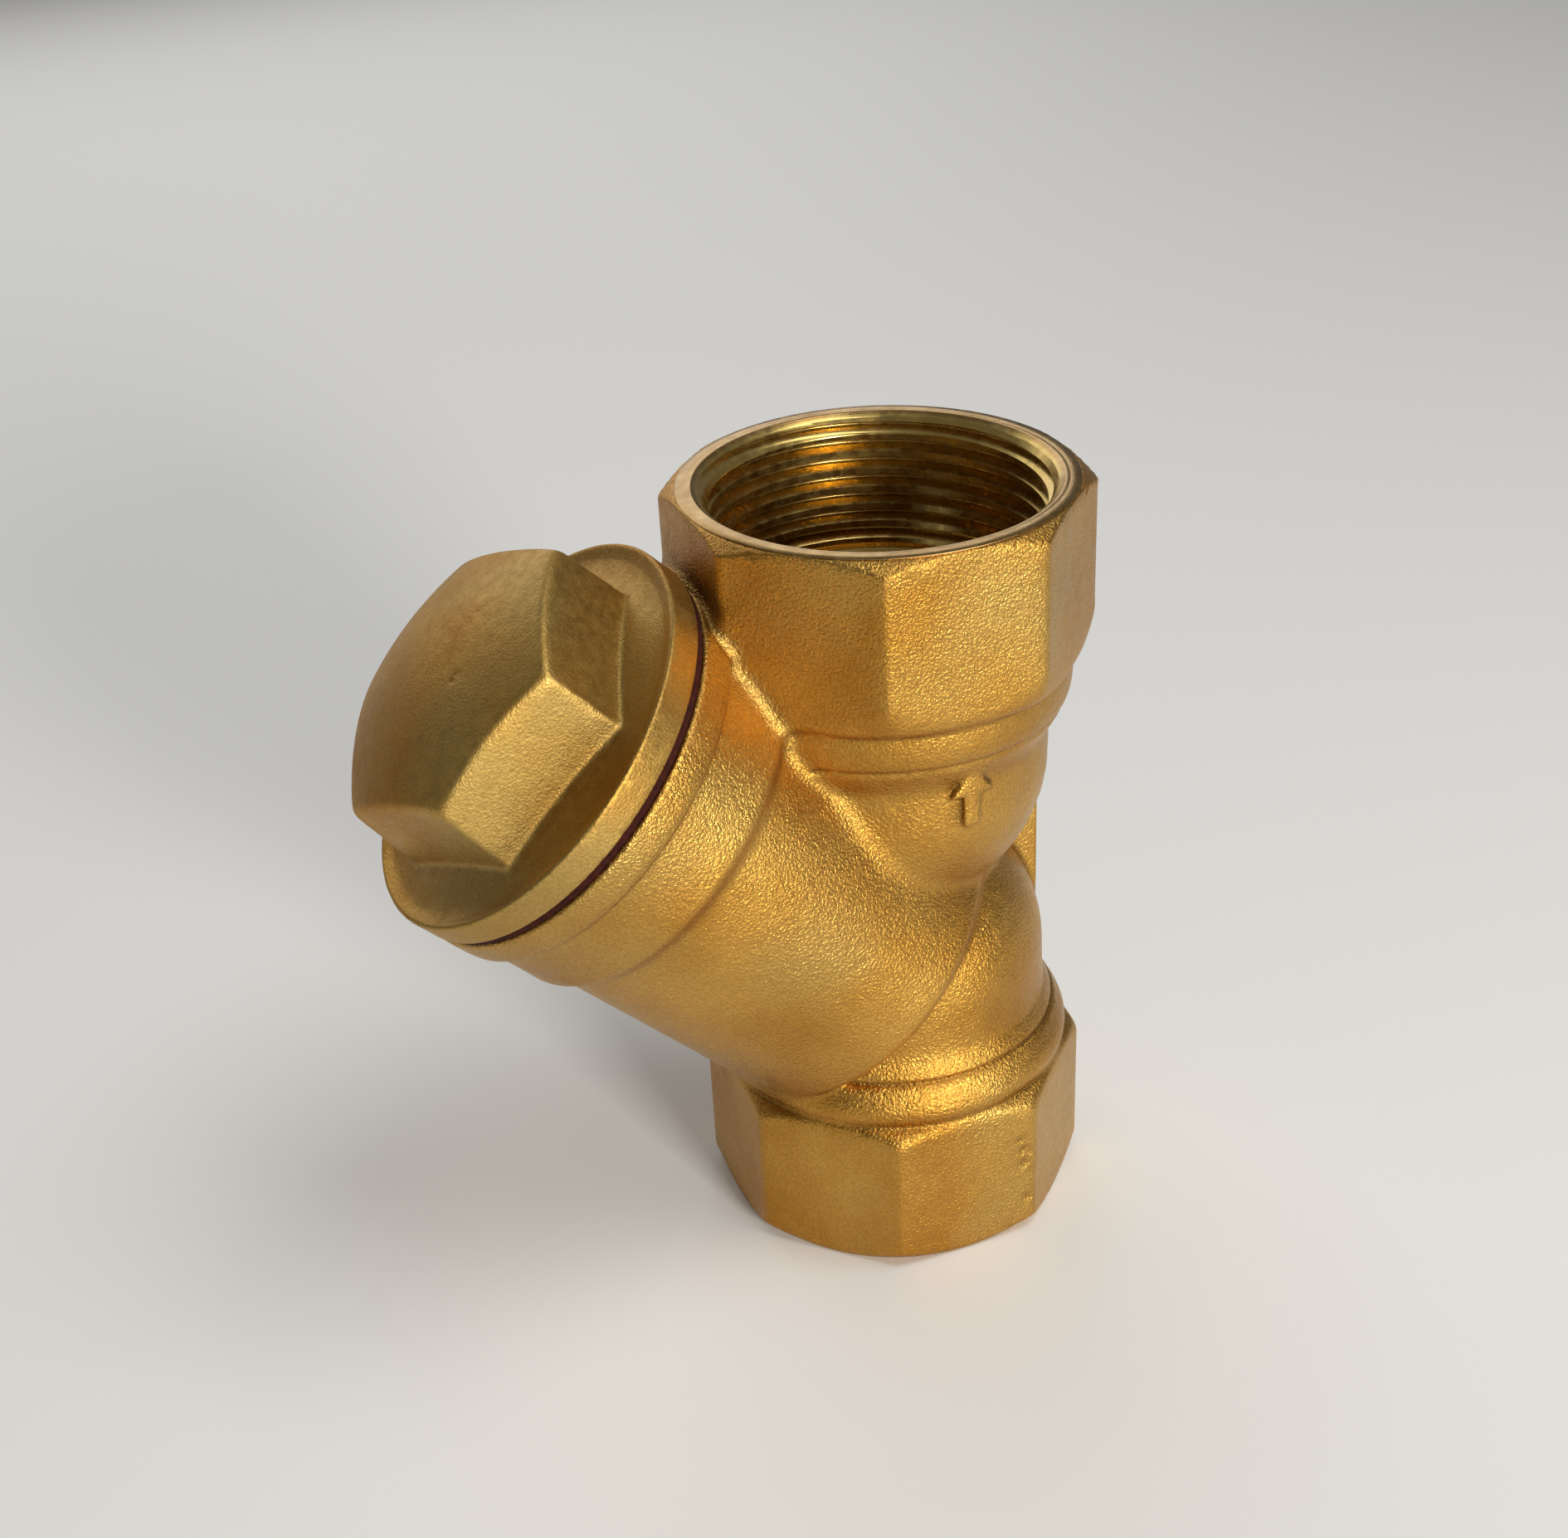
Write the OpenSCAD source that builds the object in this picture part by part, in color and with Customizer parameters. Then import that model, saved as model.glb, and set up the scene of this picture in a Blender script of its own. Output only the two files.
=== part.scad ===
// Threaded brass Y strainer, size 1 1/4 inch: octagonal ports on a straight run,
// a branch at 45 degrees with a hexagonal screw cap, and a removable screen.
// Millimetres. Origin at the centre of the inlet port face; +Z runs along the run axis
// towards the outlet; the branch leans towards -X and the outlet.

/* [Run] */
// face to face length between the two ports
run_length = 97; // [94:0.2:99]
// outlet octagon, across flats
outlet_flats = 46.8; // [45.6:0.2:48]
// inlet octagon, across flats
inlet_flats = 45; // [44:0.2:46]
// radius of the port thread crests (minor radius of a 1 1/4 inch pipe thread)
port_radius = 19.476; // [19.3:0.004:19.6]
// radius of the smooth lead-in at each port mouth
mouth_radius = 20.6; // [20.2:0.1:20.9]
// depth of the smooth lead-in at each port mouth
mouth_depth = 2.2; // [1.5:0.1:3]
// depth of the inlet thread from the port face
inlet_depth = 15; // [13:0.5:15.5]
// depth of the outlet thread from the port face
outlet_depth = 18; // [14:0.5:18]

/* [Waist] */
// outside radius of the round bowl under the outlet
bowl_radius = 19.8; // [19.4:0.1:20.2]
// height of the bowl centre
bowl_height = 62.4; // [61.6:0.2:63]
// outside radius of the rounded inlet neck
neck_radius = 19.4; // [19.2:0.1:19.8]
// height where the inlet neck starts to round over
neck_height = 34; // [33.4:0.2:34.6]
// outer edge of the flat rib behind the waist
rib_reach = 20.2; // [19.9:0.1:20.6]
// thickness of the flat rib
rib_thickness = 4; // [3:0.5:6]

/* [Branch] */
// lean of the branch from the run axis, in degrees
branch_angle = 45; // [44:0.5:46]
// height where the branch axis crosses the run axis
branch_height = 30.3; // [30:0.1:30.8]
// outside radius of the plain branch tube
tube_radius = 22.1; // [21.9:0.1:22.4]
// outside radius of the middle band
band_radius = 23.4; // [23.2:0.1:23.8]
// outside radius of the collar at the branch mouth
collar_radius = 24.6; // [24.2:0.1:24.9]
// radius of the branch thread crests
branch_radius = 20.19; // [20.15:0.01:20.3]
// radius of the screen chamber
chamber_radius = 18.6; // [18:0.1:18.8]
// radius of the seat hole in the inner wall
seat_radius = 13.5; // [12.5:0.1:13.8]

/* [Cap] */
// outside radius of the cap flange
flange_radius = 24.6; // [24.2:0.1:24.9]
// distance from the hexagon's centre to its corners, at the flange
hex_radius = 19.5; // [19:0.1:19.9]
// radius of the threaded spigot under the flange
spigot_radius = 20.1; // [20.05:0.01:20.14]
// radius of the recess that holds the screen
recess_radius = 16.3; // [16.1:0.1:16.8]
// thickness of the gasket ring
gasket_thickness = 1; // [0.9:0.1:1.2]

/* [Screen] */
// outside radius of the perforated sleeve
sleeve_radius = 15.3; // [15.1:0.05:15.3]
// sheet thickness of the perforated sleeve
sleeve_sheet = 0.5; // [0.4:0.1:0.6]
// rows of holes along the sleeve
hole_rows = 9; // [6:1:11]
// holes in each row
hole_count = 12; // [8:2:14]
// radius of each hole
hole_radius = 1.6; // [1:0.1:1.7]

/* [Hidden] */
eps = 0.01;
octagon_k = cos(22.5);
// turned corners of the two octagons: [in from the corner, along the run]
outlet_face_cut = [2.1, 1.4];
outlet_low_cut = [2.2, 3.6];
inlet_face_cut = [2.2, 2.2];
inlet_high_cut = [1.7, 1.5];
// stations along the branch axis, measured from the crossing with the run axis
tube_start = 7.4;
collar_face = 58.3;
seat_low = 4.5;
seat_floor = 6.8;
chamber_floor = 8;
// height where the neck and the bowl meet, and the arcs that lead to it
waist_height = (neck_radius * neck_radius - bowl_radius * bowl_radius - neck_height * neck_height
                + bowl_height * bowl_height) / (2 * (bowl_height - neck_height));
neck_turn = asin((waist_height - neck_height) / neck_radius);
bowl_turn = asin((bowl_height - waist_height) / bowl_radius);
cap_face = collar_face + gasket_thickness;
spigot_end = 46.3;
hex_top = 77.7;
screen_low = 6.85;
screen_high = 60.2;
ring_height = 3;
ring_radius = 15.75;
ring_inner = 14.2;
lap = 0.65;
sleeve_low = screen_low + lap;
sleeve_high = screen_high - lap;
mesh_outer = sleeve_radius - sleeve_sheet - 0.02;
mesh_inner = mesh_outer - 0.22;

$fn = 96;

// places children with local +Z along the branch axis, local +X in the plane of symmetry
module along_branch()
{
    translate([0, 0, branch_height])
        rotate([0, -branch_angle, 0])
            children();
}

// octagonal port from height low to height high; its corners are turned off at both ends,
// where each cut is [distance in from the corner, distance along the run]
module port_octagon(flats, low, high, low_cut, high_cut)
{
    corner = flats / 2 / octagon_k;
    intersection() {
        translate([0, 0, low])
            rotate([0, 0, 22.5])
                cylinder(h = high - low, r = corner, $fn = 8);
        rotate_extrude()
            polygon([
                [0, low],
                [corner - low_cut[0], low],
                [corner + 0.2, low + low_cut[1]],
                [corner + 0.2, high - high_cut[1]],
                [corner - high_cut[0], high],
                [0, high]
            ]);
    }
}

// points on an arc about the run axis, centred at height h, from angle a0 to angle a1
function arc(r, h, a0, a1, n) = [for (i = [0 : n]) let (a = a0 + (a1 - a0) * i / n) [r * cos(a), h + r * sin(a)]];

// round part of the run: inlet shoulder, rounded neck, waist, bowl and outlet shoulder
module run_core()
{
    rotate_extrude()
        polygon(concat(
            [
                [0, 20],
                [21.9, 20],
                [21.9, 21.4],
                [22.3, 22],
                [22.1, 23.8],
                [21.3, 25.8],
                [20.7, 26.8],
                [20.1, 27.2],
                [19.7, 28.2],
                [neck_radius, 30]
            ],
            arc(neck_radius, neck_height, 0, neck_turn, 6),
            arc(bowl_radius, bowl_height, -bowl_turn * 5 / 6, 0, 5),
            [
                [bowl_radius, 67.8],
                [20.6, 68.5],
                [21.3, 69],
                [22.1, 70.4],
                [22.4, 72.2],
                [22.1, 73.9],
                [22.1, 75],
                [0, 75]
            ]
        ));
}

// outside of the branch: tube, middle band and collar
module branch_outside()
{
    along_branch()
        rotate([0, 0, 135])
            rotate_extrude()
                polygon([
                    [0, tube_start],
                    [tube_radius - 1.1, tube_start],
                    [tube_radius - 0.3, tube_start + 0.4],
                    [tube_radius, tube_start + 1.4],
                    [tube_radius, 42.9],
                    [tube_radius + 0.3, 43.8],
                    [band_radius - 0.4, 44.6],
                    [band_radius, 46],
                    [band_radius, 52],
                    [band_radius - 0.3, 53],
                    [band_radius - 0.1, 53.7],
                    [collar_radius - 0.4, 54.2],
                    [collar_radius, 55],
                    [collar_radius, collar_face - 0.3],
                    [collar_radius - 0.3, collar_face],
                    [0, collar_face]
                ]);
}

// raised arrow on the bowl that shows the way of flow
module flow_arrow()
{
    intersection() {
        translate([0, 0, 60])
            cylinder(h = 10, r = bowl_radius + 0.6);
        translate([1.8, -16, 0])
            rotate([90, 0, 0])
                linear_extrude(height = 6)
                    polygon([
                        [-1.1, 61.2],
                        [1.1, 61.2],
                        [1.1, 65.6],
                        [2.7, 65.6],
                        [0, 68.8],
                        [-2.7, 65.6],
                        [-1.1, 65.6]
                    ]);
    }
}

// flat web between the bowl and the inlet neck
module waist_rib()
{
    translate([6, -rib_thickness / 2, neck_height])
        cube([rib_reach - 6, rib_thickness, bowl_height - neck_height]);
}

module body_outside()
{
    port_octagon(outlet_flats, 74.4, run_length, outlet_low_cut, outlet_face_cut);
    port_octagon(inlet_flats, 0, 20.6, inlet_face_cut, inlet_high_cut);
    run_core();
    waist_rib();
    branch_outside();
    flow_arrow();
}

// everything on the inlet side of the seat wall
module below_seat()
{
    along_branch()
        translate([-80, -80, seat_low - 120])
            cube([160, 160, 120]);
}

// everything on the outlet side of the seat wall
module above_seat()
{
    along_branch()
        translate([-80, -80, chamber_floor + 1.6])
            cube([160, 160, 120]);
}

module inlet_way()
{
    translate([0, 0, -eps])
        cylinder(h = mouth_depth + eps, r = mouth_radius);
    cylinder(h = inlet_depth, r = port_radius);
    intersection() {
        rotate_extrude()
            polygon(concat([[0, 1], [16.6, 1]], arc(16.6, neck_height, 0, 90, 8)));
        below_seat();
    }
}

module outlet_way()
{
    translate([0, 0, run_length - mouth_depth])
        cylinder(h = mouth_depth + eps, r = mouth_radius);
    translate([0, 0, run_length - outlet_depth])
        cylinder(h = outlet_depth, r = port_radius);
    intersection() {
        rotate_extrude()
            polygon(concat(
                arc(16.8, bowl_height, -90, 0, 8),
                [[16.8, run_length - outlet_depth + 1], [0, run_length - outlet_depth + 1]]
            ));
        above_seat();
    }
}

// bores along the branch: seat hole, screen chamber, cap thread and lead-in
module branch_way()
{
    along_branch() {
        translate([0, 0, seat_low - 1])
            cylinder(h = 6, r = seat_radius);
        rotate_extrude()
            polygon([
                [0, seat_floor],
                [ring_radius + 0.2, seat_floor],
                [ring_radius + 0.2, chamber_floor],
                [17.2, chamber_floor + 0.8],
                [17.2, 12],
                [chamber_radius, 13.4],
                [chamber_radius, 43.4],
                [branch_radius, 45],
                [branch_radius, collar_face - 0.9],
                [branch_radius + 0.9, collar_face],
                [branch_radius + 0.9, collar_face + 1],
                [0, collar_face + 1]
            ]);
    }
}

// one forging: ports, waist, branch, inner seat wall
module body()
{
    color([0.78, 0.58, 0.25])
        difference() {
            body_outside();
            inlet_way();
            outlet_way();
            branch_way();
        }
}

module cap_outside()
{
    // flange with a rounded rim and a shallow dish around the hexagon
    rotate([0, 0, 15])
        rotate_extrude()
            polygon([
                [0, cap_face],
                [flange_radius - 0.2, cap_face],
                [flange_radius, cap_face + 0.2],
                [flange_radius, 62.5],
                [flange_radius - 0.2, 62.9],
                [flange_radius - 0.7, 63.2],
                [flange_radius - 1.8, 63.3],
                [21.2, 62.6],
                [19.8, 62.9],
                [18.6, 64],
                [0, 64]
            ]);
    // hexagon with a slight draft under a domed end
    intersection() {
        translate([0, 0, 62])
            cylinder(h = 18, r1 = hex_radius, r2 = hex_radius - 1.2, $fn = 6);
        translate([0, 0, hex_top - 45])
            rotate([90, 0, 0])
                sphere(r = 45);
    }
    // threaded spigot with a relief groove next to the flange
    rotate([0, 0, 15])
        rotate_extrude()
            polygon([
                [0, spigot_end],
                [spigot_radius - 1, spigot_end],
                [spigot_radius, spigot_end + 1],
                [spigot_radius, 57.2],
                [spigot_radius - 0.9, 57.6],
                [spigot_radius - 0.9, cap_face + 0.5],
                [0, cap_face + 0.5]
            ]);
}

// screw cap: hexagonal head, round flange, hollow threaded spigot
module cap()
{
    color([0.8, 0.6, 0.28])
        along_branch()
            difference() {
                cap_outside();
                rotate_extrude()
                    polygon([
                        [0, spigot_end - 1],
                        [recess_radius + 0.8, spigot_end - 1],
                        [recess_radius + 0.8, spigot_end],
                        [recess_radius, spigot_end + 0.8],
                        [recess_radius, screen_high + 0.1],
                        [13.6, screen_high + 0.1],
                        [13.6, 66],
                        [11.6, 68.4],
                        [8, 69.4],
                        [0, 69.4]
                    ]);
            }
}

// flat fibre ring between the collar and the cap flange
module cap_gasket()
{
    color([0.25, 0.07, 0.06])
        along_branch()
            translate([0, 0, collar_face])
                difference() {
                    cylinder(h = gasket_thickness, r = collar_radius - 0.3);
                    translate([0, 0, -1])
                        cylinder(h = gasket_thickness + 2, r = spigot_radius + 0.35);
                }
}

// perforated stainless sleeve
module screen()
{
    span = sleeve_high - sleeve_low - 2 * ring_height - 3.6;
    step = span / (hole_rows - 1);
    first = sleeve_low + ring_height + 1.8;
    color([0.72, 0.73, 0.75])
        along_branch()
            difference() {
                translate([0, 0, sleeve_low])
                    cylinder(h = sleeve_high - sleeve_low, r = sleeve_radius);
                translate([0, 0, sleeve_low - 1])
                    cylinder(h = sleeve_high - sleeve_low + 2, r = sleeve_radius - sleeve_sheet);
                for (row = [0 : hole_rows - 1])
                    for (turn = [0 : hole_count - 1])
                        translate([0, 0, first + row * step])
                            rotate([0, 0, (turn + 0.25 + 0.5 * (row % 2)) * 360 / hole_count])
                                translate([sleeve_radius - 2, 0, 0])
                                    rotate([0, 90, 0])
                                        cylinder(h = 4, r = hole_radius);
            }
}

// fine woven liner inside the sleeve
module screen_mesh()
{
    color([0.6, 0.61, 0.63])
        along_branch()
            translate([0, 0, sleeve_low])
                difference() {
                    cylinder(h = sleeve_high - sleeve_low, r = mesh_outer);
                    translate([0, 0, -1])
                        cylinder(h = sleeve_high - sleeve_low + 2, r = mesh_inner);
                }
}

// folded rim, open side up, that clasps the ends of the sleeve and the liner
module folded_rim()
{
    rotate_extrude()
        polygon([
            [ring_inner, 0.3],
            [ring_inner + 0.3, 0],
            [ring_radius - 0.3, 0],
            [ring_radius, 0.3],
            [ring_radius, ring_height],
            [sleeve_radius + 0.02, ring_height],
            [sleeve_radius + 0.02, lap - 0.02],
            [mesh_inner - 0.02, lap - 0.02],
            [mesh_inner - 0.02, ring_height],
            [ring_inner, ring_height]
        ]);
}

// rim at the seat end of the screen
module screen_seat_ring()
{
    color([0.68, 0.69, 0.71])
        along_branch()
            translate([0, 0, screen_low])
                folded_rim();
}

// rim at the cap end of the screen
module screen_cap_ring()
{
    color([0.68, 0.69, 0.71])
        along_branch()
            translate([0, 0, screen_high])
                mirror([0, 0, 1])
                    folded_rim();
}

// lap seam strip spot welded down the outside of the sleeve
module screen_seam()
{
    low = screen_low + ring_height + 0.2;
    high = screen_high - ring_height - 0.2;
    color([0.66, 0.67, 0.69])
        along_branch()
            intersection() {
                translate([0, 0, low])
                    difference() {
                        cylinder(h = high - low, r = sleeve_radius + 0.4);
                        translate([0, 0, -1])
                            cylinder(h = high - low + 2, r = sleeve_radius + 0.02);
                    }
                translate([10, -2.5, low - 1])
                    cube([10, 5, high - low + 2]);
            }
}

body();
cap();
cap_gasket();
screen();
screen_mesh();
screen_seat_ring();
screen_cap_ring();
screen_seam();
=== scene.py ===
"""Visual model of a threaded brass Y strainer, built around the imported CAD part."""
import math

import bpy
import numpy as np
import openvdb
from mathutils import Matrix, Vector


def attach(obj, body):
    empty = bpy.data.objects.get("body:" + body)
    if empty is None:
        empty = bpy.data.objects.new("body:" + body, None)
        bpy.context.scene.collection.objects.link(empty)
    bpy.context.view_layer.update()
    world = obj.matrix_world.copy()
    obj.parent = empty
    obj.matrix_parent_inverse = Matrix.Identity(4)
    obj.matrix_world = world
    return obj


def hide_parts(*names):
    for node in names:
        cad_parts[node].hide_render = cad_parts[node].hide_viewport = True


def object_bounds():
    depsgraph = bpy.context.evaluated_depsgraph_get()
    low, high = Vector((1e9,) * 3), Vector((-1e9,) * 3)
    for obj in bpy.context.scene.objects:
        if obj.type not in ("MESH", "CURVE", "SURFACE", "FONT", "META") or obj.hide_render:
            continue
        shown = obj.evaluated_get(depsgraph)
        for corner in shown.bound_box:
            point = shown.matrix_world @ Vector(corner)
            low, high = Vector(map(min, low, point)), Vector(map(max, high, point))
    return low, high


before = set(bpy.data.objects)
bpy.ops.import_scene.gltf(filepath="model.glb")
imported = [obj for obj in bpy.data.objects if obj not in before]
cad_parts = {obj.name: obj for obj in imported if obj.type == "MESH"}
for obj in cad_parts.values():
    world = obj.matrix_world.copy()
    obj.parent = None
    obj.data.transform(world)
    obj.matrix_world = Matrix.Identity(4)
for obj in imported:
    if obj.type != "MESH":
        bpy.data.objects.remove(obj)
cad_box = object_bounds()

# sizes in millimetres; the run goes up the Z axis and the branch leaves it at CROSS
MM = 0.001
RUN = 97.0
CROSS = 30.3
LEAN = math.radians(45)
BOWL_R, BOWL_Z = 19.8, 62.4
NECK_R, NECK_Z = 19.4, 34.0
OUTLET_APOTHEM, INLET_APOTHEM = 23.4, 22.48
OUTLET_THREAD_LEN, INLET_THREAD_LEN = 18, 15
PIPE_MINOR, PIPE_MAJOR, PIPE_PITCH = 19.476, 20.955, 2.309
MOUTH_R = 20.6
TUBE_R, BAND_R, COLLAR_R = 22.1, 23.35, 24.3
COLLAR_TOP = 58.3
CAP_PITCH = 1.5
CAP_THREAD_LOW, CAP_THREAD_HIGH = 51.9, 57.2
BRANCH_THREAD_LOW, BRANCH_THREAD_HIGH = 50.5, 57.4
CAP_MINOR, CAP_MAJOR = 19.98, 20.88
BRANCH_MINOR, BRANCH_MAJOR = 20.19, 21.05
FLANGE_R, FLANGE_LOW = 24.57, 59.32
HEX_APOTHEM, HEX_BASE = 16.9, 63.6
# directions of the branch's own axes
U = np.array([math.cos(LEAN), 0, math.sin(LEAN)])
V = np.array([0, 1.0, 0])
B = np.array([-math.sin(LEAN), 0, math.cos(LEAN)])


# ---------------------------------------------------------------- mesh helpers
def new_object(name, verts, faces, smooth=True):
    mesh = bpy.data.meshes.new(name)
    mesh.from_pydata([tuple(v) for v in verts], [], [tuple(int(i) for i in f) for f in faces])
    mesh.validate()
    mesh.update()
    if smooth:
        mesh.polygons.foreach_set("use_smooth", [True] * len(mesh.polygons))
    obj = bpy.data.objects.new(name, mesh)
    bpy.context.collection.objects.link(obj)
    return obj


def weld(obj, dist=1e-6, sharp=None):
    import bmesh
    bm = bmesh.new()
    bm.from_mesh(obj.data)
    bmesh.ops.remove_doubles(bm, verts=bm.verts, dist=dist)
    bmesh.ops.dissolve_degenerate(bm, edges=bm.edges, dist=dist)
    bmesh.ops.recalc_face_normals(bm, faces=bm.faces)
    if sharp:
        limit = math.radians(sharp)
        for e in bm.edges:
            e.smooth = not (len(e.link_faces) == 2 and e.calc_face_angle(0) > limit)
    bm.to_mesh(obj.data)
    bm.free()
    obj.data.update()
    return obj


def to_row(points, branch):
    """Local (x, y, z) in mm to the row frame in metres; branch=True for the branch's own axes."""
    p = np.asarray(points, float)
    if branch:
        p = np.array([0, 0, CROSS]) + p[:, :1] * U + p[:, 1:2] * V + p[:, 2:3] * B
    return p * MM


def sdf_mesh(name, field, lo, hi, h, branch=False, adapt=0.012):
    """Mesh of field(x, y, z) = 0 over a box with cells of h, all in mm."""
    n = [int(math.ceil((b - a) / h)) + 1 for a, b in zip(lo, hi)]
    ax = [np.float32(a) + np.float32(h) * np.arange(k, dtype=np.float32) for a, k in zip(lo, n)]
    x, y, z = ax[0][:, None, None], ax[1][None, :, None], ax[2][None, None, :]
    d = field(x, y, z) / h
    grid = openvdb.FloatGrid(background=3.0)
    grid.copyFromArray(np.clip(d, -3, 3).astype(np.float32), tolerance=0.0)
    p, tri, quad = grid.convertToPolygons(isovalue=0.0, adaptivity=adapt)
    p = p * h + np.array(lo)
    faces = [f[::-1] for f in tri] + [f[::-1] for f in quad]
    return weld(new_object(name, to_row(p, branch), faces), 1e-7)


def smin(a, b, k):
    """Lower of two distances, blended over a width k."""
    h = np.maximum(k - np.abs(a - b), 0) / k
    return np.minimum(a, b) - h * h * k * 0.25


def smax(a, b, k):
    return -smin(-a, -b, k)


def rbox(p, q, hp, hq, rd):
    """Distance to a rectangle of half sizes hp and hq with corners of radius rd."""
    a, b = np.abs(p) - (hp - rd), np.abs(q) - (hq - rd)
    return np.sqrt(np.maximum(a, 0) ** 2 + np.maximum(b, 0) ** 2) + np.minimum(np.maximum(a, b), 0) - rd


def disc(rho, z, r, z0, z1, rd):
    """Distance to a cylinder of radius r from z0 to z1 with rounded rims."""
    return rbox(rho, z - (z0 + z1) / 2, r, (z1 - z0) / 2, rd)


def ngon(x, y, n, apothem, phase, k):
    """Distance to an n-sided prism with rounded corners; phase is a flat's direction in degrees."""
    d = None
    for i in range(n):
        a = math.radians(phase + 360.0 * i / n)
        f = x * math.cos(a) + y * math.sin(a) - apothem
        d = f if d is None else smax(d, f, k)
    return d


# ---------------------------------------------------------------- the forging
def branch_coords(x, y, z):
    """Station along the branch and distance from its axis."""
    w = z - CROSS
    s, c = math.sin(LEAN), math.cos(LEAN)
    t = -s * x + c * w
    u = c * x + s * w
    return t, np.sqrt(u * u + y * y)


def ramp01(v, lo, hi):
    q = np.clip((v - lo) / (hi - lo), 0, 1)
    return q * q * (3 - 2 * q)


def groove(d, r, z, at_r, at_z, width):
    """Cuts a soft round-bottomed line into d."""
    return smax(d, width - np.sqrt((r - at_r) ** 2 + (z - at_z) ** 2), 0.15)


# outside radius of the run between the two octagons, as (height, radius)
SHOULDERS = [(18.0, 21.6), (20.6, 22.0), (22.0, 22.55), (23.6, 22.2), (25.4, 21.2), (26.7, 20.5),
             (27.9, 19.95), (29.2, 19.45), (34.0, 19.4)]
UNDERSIDE = [(64.0, 19.8), (66.4, 19.85), (67.6, 20.5), (68.8, 21.25), (70.2, 21.95), (71.6, 22.45),
             (73.4, 22.65), (76.0, 22.7)]


def profile(at, points):
    """Curve through the points, read at three near places so that its corners are soft."""
    places, values = zip(*points)
    return sum(np.interp(at + shift, places, values) for shift in (-0.45, 0, 0.45)).astype(np.float32) / 3


def run_field(rho, x, y, z):
    """Outlet octagon, bowl, waist rib, inlet neck and inlet octagon."""
    top = ngon(x, y, 8, OUTLET_APOTHEM, 0, 0.55)
    top = smax(top, 75.3 - z, 1.2)
    top = smax(top, rho * 0.86 - z * 0.51 + 18.0, 1.3)
    low = ngon(x, y, 8, INLET_APOTHEM, 0, 0.55)
    low = smax(low, z - 20.5, 0.7)
    low = smax(low, rho * 0.66 + z * 0.75 - 30.5, 0.9)
    waist = (NECK_R ** 2 - BOWL_R ** 2 - NECK_Z ** 2 + BOWL_Z ** 2) / (2 * (BOWL_Z - NECK_Z))
    bowl = np.sqrt(rho ** 2 + np.minimum(z - BOWL_Z, 0) ** 2) - BOWL_R
    neck = np.sqrt(rho ** 2 + np.maximum(z - NECK_Z, 0) ** 2) - NECK_R
    under = (rho - profile(z, UNDERSIDE)) * 0.86
    under = np.maximum(under, 64.0 - z)
    flare = (rho - profile(z, SHOULDERS)) * 0.8
    flare = np.maximum(flare, z - 34.0)
    bowl = np.maximum(np.minimum(bowl, under), waist - 6 - z)
    bowl = np.maximum(bowl, z - 76)
    neck = np.maximum(np.minimum(neck, flare), 18 - z)
    core = smin(bowl, neck, 1.6)
    core = groove(core, rho, z, 20.75, 26.15, 0.34)
    core = groove(core, rho, z, 19.95, 28.5, 0.3)
    core = groove(core, rho, z, 22.15, 70.0, 0.55)
    run = smin(core, top, 0.35)
    run = groove(run, rho, z, 23.15, 74.7, 0.55)
    run = smin(run, low, 0.5)
    rib = rbox(x - 12.0, y, 8.2, 2.0, 0.5)
    rib = smax(rib, np.abs(z - 48.2) - 14.6, 0.6)
    return smin(run, rib, 0.9)


def arrow_field(rho, x, y, z):
    """Raised flow arrow, slightly worn, with a soft outline."""
    ax, az = x - 1.9, z
    shaft = rbox(ax, az - 63.4, 1.15, 2.4, 0.15)
    head = smax(np.abs(ax) * 0.80 + (az - 68.7) * 0.64, 65.0 - az, 0.2)
    arrow = smin(shaft, head, 0.15)
    arrow = smax(arrow, rho - 20.75 + (68.0 - z) * 0.02, 0.3)
    return np.maximum(arrow, y + 10)


def pits_field(x, y, z, pits):
    """Distance to the nearest of a few small balls."""
    d = 9.0
    for px, py, pz, r in pits:
        d = np.minimum(d, np.sqrt((x - px) ** 2 + (y - py) ** 2 + (z - pz) ** 2) - r)
    return d


# dents near the inlet's front corner and a few on the branch: centre and radius
PITS = [(7.3, -23.0, 14.6, 0.62), (7.8, -22.95, 13.1, 0.72), (8.5, -22.95, 12.3, 0.58),
        (7.9, -23.0, 10.9, 0.75),
        (8.8, -22.9, 9.6, 0.5), (8.4, -22.85, 5.4, 0.45), (4.9, -20.2, 61.0, 0.6)]


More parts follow.
